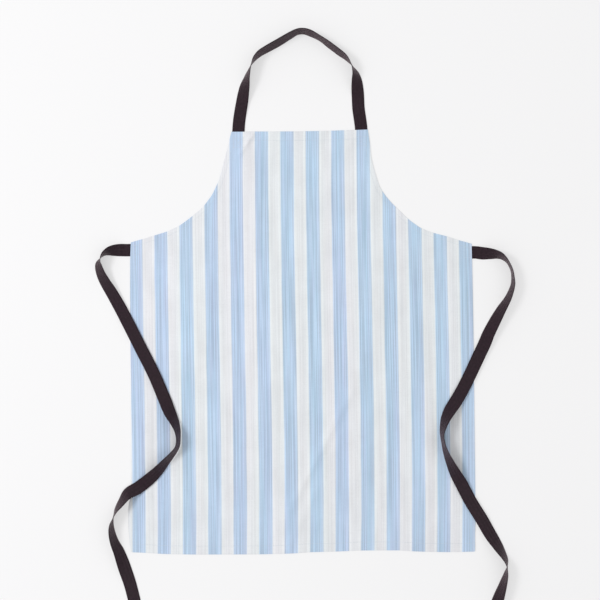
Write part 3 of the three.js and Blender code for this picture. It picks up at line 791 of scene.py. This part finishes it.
def hem_rows(first, last, width, start_gap, end_gap):
    """A front row and a back row of stitches inside one hem's inner fold."""
    run = rim_run(first, last)
    inset = width - STITCH_INSET
    front, back = [], []
    for place, out, at in run:
        if at < start_gap or run[-1][2] - at < end_gap:
            continue
        x, y = place[0] - out[0] * inset, place[1] - out[1] * inset
        front.append((x, y, on_panel(x, y)))
        if over_tape(x, y) < 0.05:
            lift = HEM_FOLLOWS * panel_lift(x, y)
            back.append((x, y, HEM_BACK - 0.5 * HEM_LAYER + lift - BACK_PROUD))
    return [front, back]


for name, node, first, last, width, start_gap, end_gap in (
    ("bib", "bib_topstitch", top_right, top_left, BIB_HEM, 24, 24),
    ("armhole_right", "armhole_topstitch_right", right_corner, top_right, ARMHOLE_HEM, 6, 38),
    ("armhole_left", "armhole_topstitch_left", top_left, left_corner, ARMHOLE_HEM, 38, 6),
    ("side_right", "side_topstitch_right", bottom_right, right_corner, SIDE_HEM, 16, 8),
    ("side_left", "side_topstitch_left", left_corner, rim_total, SIDE_HEM, 8, 16),
    ("bottom", "bottom_topstitch", 0, bottom_right, BOTTOM_HEM, 3, 3),
):
    rows = hem_rows(first, last, width, start_gap, end_gap)
    sewn_piece("topstitch_" + name, rows, pale_sewing, "panel", [node])


def tack_lines(low, high, crossed, height_at):
    """A sewn rectangle, and its diagonals where the tack is crossed."""
    a, b, c, d = low, (high[0], low[1]), high, (low[0], high[1])
    runs = [(a, b), (b, c), (c, d), (d, a)]
    if crossed:
        runs += [(a, c), (b, d)]
    lines = []
    for start, end in runs:
        length = math.hypot(end[0] - start[0], end[1] - start[1])
        steps = max(2, round(length / TACK_DETAIL))
        line = []
        for k in range(steps + 1):
            x = start[0] + (end[0] - start[0]) * k / steps
            y = start[1] + (end[1] - start[1]) * k / steps
            line.append((x, y, height_at(x, y)))
        lines.append(line)
    return lines


tack_reach = 0.5 * TAPE_WIDTH - TACK_MARGIN
neck_low, waist_outer = BODY_LENGTH - SEWN_LENGTH + TACK_MARGIN, HALF_WIDTH - TACK_MARGIN
for label, side in (("left", -1), ("right", 1)):
    neck_x, waist_y = side * NECK_ANCHOR_X, WAIST_ANCHOR_Y[side]
    ends = sorted((side * waist_outer, side * (waist_outer - WAIST_TACK)))
    for place, crossed, low, high in (
        ("neck", True, (neck_x - tack_reach, neck_low),
         (neck_x + tack_reach, neck_low + 2 * tack_reach)),
        ("waist", False, (ends[0], waist_y - tack_reach), (ends[1], waist_y + tack_reach)),
    ):
        lines = tack_lines(low, high, crossed, on_panel)
        lines += tack_lines(low, high, crossed, under_tape)
        sewn_piece(
            "tack_" + place + "_" + label, lines, pale_sewing, "panel",
            [place + "_tack_" + label],
        )


# ---- neck strap ----
# One length of dark cotton twill tape, an inch wide. Both ends are sewn behind the bib's
# corners, and the run between them turns up on its edge and comes to a soft point.
TAPE_THICK = 1.2
TAPE_STAND = 1.4               # a flat tape's height, with the air in its weave
CLOTH_TOP = 3.4                # how high a tape lies where it runs over the panel
ROUTE_TENSION = 0.4
ROUTE_PARTS = 60
TAPE_STEP = 3.0
NECK_ROUTE = [                 # x, y above the bib, and the tape's roll in degrees
    (-125.3, -35, 0), (-125.3, -14, 0), (-125, 4, 0), (-123, 26, 0), (-117, 61, -8),
    (-112, 88, -28), (-106, 111, -58), (-99, 131, -77), (-91, 146, -94), (-80, 157, -103),
    (-65, 166, -107), (-41, 179, -109), (-17, 193, -105), (-3, 200, -100), (10, 201, -100),
    (23, 197, -103), (43, 186, -98), (62, 172, -104), (80, 158, -104), (95, 146, -97),
    (108, 129, -77), (115, 114, -53), (117, 101, -31), (118, 87, -13), (119, 71, 0),
    (120, 45, 0), (123, 22, 0), (125, 4, 0), (125.3, -14, 0), (125.3, -35, 0),
]


def cubic(b, c, out, come, share):
    """A share of the way from b to c, leaving and arriving at the given rates."""
    return (
        b + out * share + (-3 * b + 3 * c - 2 * out - come) * share ** 2
        + (2 * b - 2 * c + out + come) * share ** 3
    )


def chordal(p0, p1, p2, p3, share):
    """A point on the centripetal curve between p1 and p2."""
    def gap(a, b):
        return max(1e-6, math.hypot(b[0] - a[0], b[1] - a[1]) ** 0.5)
    d0, d1, d2 = gap(p0, p1), gap(p1, p2), gap(p2, p3)
    made = []
    for a, b, c, d in zip(p0, p1, p2, p3):
        out = ((b - a) / d0 - (c - a) / (d0 + d1) + (c - b) / d1) * d1
        come = ((c - b) / d1 - (d - b) / (d1 + d2) + (d - c) / d2) * d1
        made.append(cubic(b, c, out, come, share))
    return made


def eased(a, b, c, d, share):
    """A roll or a height between b and c, with its rates taken from its neighbours."""
    return cubic(b, c, ROUTE_TENSION * (c - a), ROUTE_TENSION * (d - b), share)


def tape_stations(route, start, end, step):
    """Middle, across and face directions at even distances along a tape's route."""
    points = [(r[0], r[1]) for r in route]
    rolls = [r[2] for r in route]
    cloths = [r[3] for r in route]

    def around(values, i, mirror):
        first = values[i - 1] if i > 0 else mirror(values[0], values[1])
        last = values[i + 2] if i + 2 < len(values) else mirror(values[-1], values[-2])
        return first, values[i], values[i + 1], last
    line, roll_line, cloth_line = [], [], []
    for i in range(len(route) - 1):
        near = around(points, i, lambda a, b: (2 * a[0] - b[0], 2 * a[1] - b[1]))
        near_roll = around(rolls, i, lambda a, b: 2 * a - b)
        near_cloth = around(cloths, i, lambda a, b: 2 * a - b)
        steady = rolls[i] == rolls[i + 1]
        for k in range(ROUTE_PARTS + (1 if i == len(route) - 2 else 0)):
            share = k / ROUTE_PARTS
            line.append(chordal(*near, share))
            roll_line.append(rolls[i] if steady else eased(*near_roll, share))
            cloth_line.append(min(1.0, max(0.0, eased(*near_cloth, share))))
    line = np.array(line)
    reach = np.concatenate([[0], np.cumsum(np.hypot(*np.diff(line, axis=0).T))])
    end = reach[-1] if end is None else end
    count = max(2, round((end - start) / step)) + 1
    places = np.linspace(start, end, count)
    xs, ys = (np.interp(places, reach, line[:, axis]) for axis in (0, 1))
    turn = np.radians(np.interp(places, reach, roll_line))
    cloth = np.interp(places, reach, cloth_line)
    run = np.stack([np.gradient(xs), np.gradient(ys)], 1)
    run /= np.linalg.norm(run, axis=1)[:, None]
    across = np.stack([-run[:, 1] * np.cos(turn), run[:, 0] * np.cos(turn), np.sin(turn)], 1)
    ahead = np.concatenate([run, np.zeros((count, 1))], 1)
    face = np.cross(ahead, across)
    stand = np.abs(np.sin(turn)) * TAPE_WIDTH / 2 + np.abs(np.cos(turn)) * TAPE_STAND / 2
    middle = np.stack([xs, ys, cloth * CLOTH_TOP + stand], 1)
    return {"middle": middle, "across": across, "face": face, "along": places, "ahead": ahead}


TWILL_LEVELS = {
    "Roughness": 0.42, "Specular IOR Level": 0.26, "Sheen Weight": 0.23,
    "Sheen Roughness": 0.35, "Sheen Tint": (1.0, 0.70, 0.80, 1.0),
}
BAND, RIB_SLOPE = 3.18, 0.9             # a herringbone band's width and its ribs' slant
RIB_PITCH, PICK_PITCH, PICK_HEIGHT = 1.1, 0.6, 0.35
# the last is how strongly painted shade follows the ribs, darker in their grooves and lighter on
# their crowns
RIB_STRENGTH, RIB_DEPTH, RIB_PAINTED_SHADE = 0.7, 0.18, 0.16
FUZZ_SCALE, WEAR_SCALE, FUZZ_DETAIL = 900.0, 210.0, 3.0
TWILL_DARK = (0.3, (0.0102, 0.0022, 0.0062))
TWILL_LIGHT = (0.75, (0.0242, 0.0078, 0.0162))


def twill_finish(name):
    """Narrow-woven herringbone tape: fine slanting ribs with painted shade in their grooves, a
    little fuzz and paler worn patches.
    """
    material, nodes, links, shader = new_finish(name, TWILL_LEVELS)
    reckon = reckoner(nodes, links)
    woven = nodes.new("ShaderNodeUVMap")
    woven.uv_map = "woven"
    parts = nodes.new("ShaderNodeSeparateXYZ")
    links.new(woven.outputs["UV"], parts.inputs["Vector"])

    def drift(scale):
        node = nodes.new("ShaderNodeTexNoise")
        node.inputs["Scale"].default_value = scale
        node.inputs["Detail"].default_value = FUZZ_DETAIL
        links.new(woven.outputs["UV"], node.inputs["Vector"])
        return node.outputs["Fac"]

    def waves(place, pitch):
        return reckon("SINE", reckon("MULTIPLY", place, 2 * math.pi / (pitch * MM)))

    band = reckon("PINGPONG", parts.outputs["X"], BAND * MM)
    slope = reckon("ADD", reckon("MULTIPLY", band, RIB_SLOPE), parts.outputs["Y"])
    ribs = waves(slope, RIB_PITCH)
    picks = reckon("MULTIPLY", waves(parts.outputs["X"], PICK_PITCH), PICK_HEIGHT)
    height = reckon("ADD", reckon("ADD", ribs, picks), drift(FUZZ_SCALE))
    woven_relief(nodes, links, shader, height, RIB_STRENGTH, RIB_DEPTH)
    # the colour follows the ribs' relief as painted shade, darker in the grooves and lighter on
    # the crowns, with random paler patches on top
    rib_painted_shade_and_patches = reckon("ADD", reckon("MULTIPLY", ribs, RIB_PAINTED_SHADE), drift(WEAR_SCALE))
    tint = nodes.new("ShaderNodeValToRGB")
    for stop, (mark, colour) in zip(tint.color_ramp.elements, (TWILL_DARK, TWILL_LIGHT)):
        stop.position = mark
        stop.color = (*colour, 1.0)
    links.new(rib_painted_shade_and_patches, tint.inputs["Fac"])
    links.new(tint.outputs["Color"], shader.inputs["Base Color"])
    return material


twill = twill_finish("dark_twill_tape")
HALF_TAPE, HALF_THICK = 0.5 * TAPE_WIDTH, 0.5 * TAPE_THICK
TAPE_RING = [                  # round the tape: shares of its half width and half thickness
    (-1.0, 0.0), (-0.975, -0.85), (-0.72, -0.92), (-0.36, -1.0), (0.0, -1.0), (0.36, -1.0),
    (0.72, -0.92), (0.975, -0.85), (1.0, 0.0), (0.975, 0.85), (0.72, 0.92), (0.36, 1.0),
    (0.0, 1.0), (-0.36, 1.0), (-0.72, 0.92), (-0.975, 0.85),
]


def tape_piece(name, stations):
    """A woven tape swept along its stations, closed at both ends, with its own UV map."""
    points, faces, layout = [], [], []
    ring = len(TAPE_RING)
    count = len(stations["along"])
    for middle, across, face in zip(stations["middle"], stations["across"], stations["face"]):
        for u, v in TAPE_RING:
            points.append(to_row(*(middle + across * (u * HALF_TAPE) + face * (v * HALF_THICK))))
    for station in range(count - 1):
        for k in range(ring):
            a, b = station * ring + k, station * ring + (k + 1) % ring
            faces.append((a, b, b + ring, a + ring))
    faces.append(tuple(range(ring - 1, -1, -1)))
    faces.append(tuple(range((count - 1) * ring, count * ring)))
    piece = mesh_piece(name, points, faces, twill)
    uv = piece.data.uv_layers.new(name="woven")
    for polygon in piece.data.polygons:
        seam = {i % ring for i in polygon.vertices} == {0, ring - 1}
        for loop_index in polygon.loop_indices:
            vertex = piece.data.loops[loop_index].vertex_index
            k, station = vertex % ring, vertex // ring
            u, v = TAPE_RING[k]
            fold = u * HALF_TAPE if v <= 0 else TAPE_WIDTH - u * HALF_TAPE
            if seam and k == 0:
                fold = TAPE_WIDTH + HALF_TAPE
            uv.data[loop_index].uv = (fold * MM, stations["along"][station] * MM)
    shell = bmesh.new()
    shell.from_mesh(piece.data)
    bmesh.ops.recalc_face_normals(shell, faces=shell.faces)
    shell.to_mesh(piece.data)
    shell.free()
    piece.data.polygons.foreach_set("use_smooth", [True] * len(piece.data.polygons))
    return piece


neck_route = [(x, BODY_LENGTH + y, roll, 0.0) for x, y, roll in NECK_ROUTE]
neck_stations = tape_stations(neck_route, 0.0, None, TAPE_STEP)
neck_strap = tape_piece("neck_strap_tape", neck_stations)
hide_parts("neck_strap", "neck_strap_end_left", "neck_strap_end_right")
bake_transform(neck_strap)


# ---- waist ties ----
# Two longer lengths of the same tape, sewn behind the panel's sides below the armholes.
# They fall in loose bends over the skirt and run off past the hem, each tip turned and sewn.
TIE_LENGTH = 1020.0
TIP_TURN = 18.0
TIP_GAP, ROW_GAP = 0.08, 0.12           # air under the turned end and under its stitches
TIP_ROW, TIP_ROW_SPAN = 2.8, 1.2
FOLD_ANGLES = (25, 50, 75, 100, 125, 150, 175)
# x outwards and y from where the tie is sewn, its roll in degrees, and 1 where it lies on cloth
TIE_ROUTES = {
    "left": [
        (35, 0, 0, 0), (16, 0, 0, 0), (-11, 0, 0, 0), (-23, 0, -13, 0), (-39, -2, -40, 0),
        (-51, -6.5, -72, 0), (-57, -11, -90, 0), (-62, -18, -107, 0), (-66, -29, -133, 0),
        (-62, -47, -146, 0), (-54, -64, -156, 0), (-41, -86, -168, 0), (-22, -120, -180, 0.6),
        (-8, -147, -180, 1), (16, -195, -180, 1), (45, -253, -180, 1), (65, -300, -185, 1),
        (78, -329, -212, 1), (89, -350, -237, 1), (94, -364, -250, 1), (96, -381, -259, 1),
        (94, -397, -256, 1), (85, -411, -247, 1), (70, -428, -234, 1), (55, -445, -217, 1),
        (36, -463, -195, 1), (11, -482, -175, 1), (-8, -492, -152, 1), (-21, -509, -129, 0.7),
        (-32, -525, -112, 0.1), (-37, -538, -100, 0), (-41, -554, -84, 0), (-40, -570, -74, 0),
        (-35, -589, -64, 0), (-26, -610, -47, 0), (-14, -650, -14, 0), (-6, -676, -3, 0),
        (2, -708, 0, 0), (9, -740, 0, 0), (15, -770, 0, 0), (20, -800, 0, 0), (25, -836, 0, 0),
        (30, -872, 0, 0),
    ],
    "right": [
        (-35, 0, 0, 0), (-16, 0, 0, 0), (9, 0, 0, 0), (21, -2, 12, 0), (39, -4, 38, 0),
        (54, -7.5, 62, 0), (64, -14, 80, 0), (71, -22, 90, 0), (78, -37, 92, 0), (80, -50, 90, 0),
        (80, -65, 84, 0), (76, -79, 77, 0), (69, -95, 68, 0), (57, -115, 53, 0), (44, -139, 38, 0),
        (31, -165, 26, 0), (24, -182, 14, 0.6), (15, -201, 6, 1), (-14, -261, 3, 1),
        (-26, -283, 6, 1), (-38, -302, 13, 1), (-49, -317, 31, 1), (-58, -333, 51, 1),
        (-63, -347, 66, 1), (-66, -362, 78, 1), (-64, -380, 81, 1), (-60, -396, 73, 1),
        (-51, -419, 56, 1), (-40, -442, 33, 1), (-27, -465, 10, 1), (-10, -498, 0, 1),
        (14, -538, -1, 1), (29, -565, -12, 0.4), (43, -587, -34, 0), (55, -607, -57, 0),
        (60, -618, -66, 0), (61, -629, -77, 0), (58, -644, -95, 0), (52, -664, -111, 0),
        (42, -695, -135, 0), (34, -722, -154, 0), (26, -750, -170, 0), (19, -782, -180, 0),
        (13, -812, -180, 0), (8, -840, -180, 0), (4, -870, -180, 0), (0, -905, -180, 0),
    ],
}
dark_sewing = stitch_tree("dark sewing", dark_thread, 29)


def doubled_back(stations, lift):
    """A layer lying on the tape's last stretch, then rolled round the tip to meet its end."""
    middles = list(stations["middle"] + stations["face"] * lift)
    acrosses, faces = list(stations["across"]), list(stations["face"])
    alongs = list(stations["along"])
    tip, across, face = stations["middle"][-1], acrosses[-1], faces[-1]
    ahead, radius = stations["ahead"][-1], 0.5 * abs(lift)
    for angle in FOLD_ANGLES:
        turn = math.radians(angle)
        rise = 0.5 * lift * (1 + math.cos(turn))
        middles.append(tip + face * rise + ahead * (radius * math.sin(turn)))
        faces.append(face * math.cos(turn) + ahead * (math.copysign(1.0, lift) * math.sin(turn)))
        acrosses.append(across)
        alongs.append(stations["along"][-1] + radius * turn)
    return {"middle": middles, "across": acrosses, "face": faces, "along": alongs}


for label, side in (("left", -1), ("right", 1)):
    edge_x, sewn_y = side * HALF_WIDTH, WAIST_ANCHOR_Y[side]
    route = [(edge_x + x, sewn_y + y, roll, cloth) for x, y, roll, cloth in TIE_ROUTES[label]]
    stations = tape_stations(route, 0.0, TIE_LENGTH, TAPE_STEP)
    tie = tape_piece("waist_tie_tape_" + label, stations)
    # the last stretch is doubled back on itself and sewn across
    tip_start = TIE_LENGTH - TIP_TURN
    turned = tape_stations(route, tip_start, TIE_LENGTH, TAPE_STEP)
    up = 1.0 if turned["face"][-1][2] > 0 else -1.0
    lift, row_lift = up * (TAPE_THICK + TIP_GAP), up * (1.5 * TAPE_THICK + ROW_GAP)
    fold_end = tape_piece("waist_tie_end_" + label, doubled_back(turned, lift))
    row_start = tip_start + TIP_ROW
    row_at = tape_stations(route, row_start, row_start + TIP_ROW_SPAN, TIP_ROW_SPAN)
    middle, across, face = row_at["middle"][0], row_at["across"][0], row_at["face"][0]
    half = HALF_TAPE - TACK_MARGIN
    seam = [tuple(middle + across * u + face * row_lift) for u in np.linspace(-half, half, 9)]
    tip_row = sewn_piece(
        "waist_tie_end_stitch_" + label, [seam], dark_sewing, label + "_tie",
        ["tie_tip_stitch_" + label],
    )
    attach(fold_end, label + "_tie")
    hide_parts("waist_tie_tip_" + label)
    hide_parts("waist_tie_" + label, "waist_tie_root_" + label)
    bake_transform(tie)

bpy.context.view_layer.update()
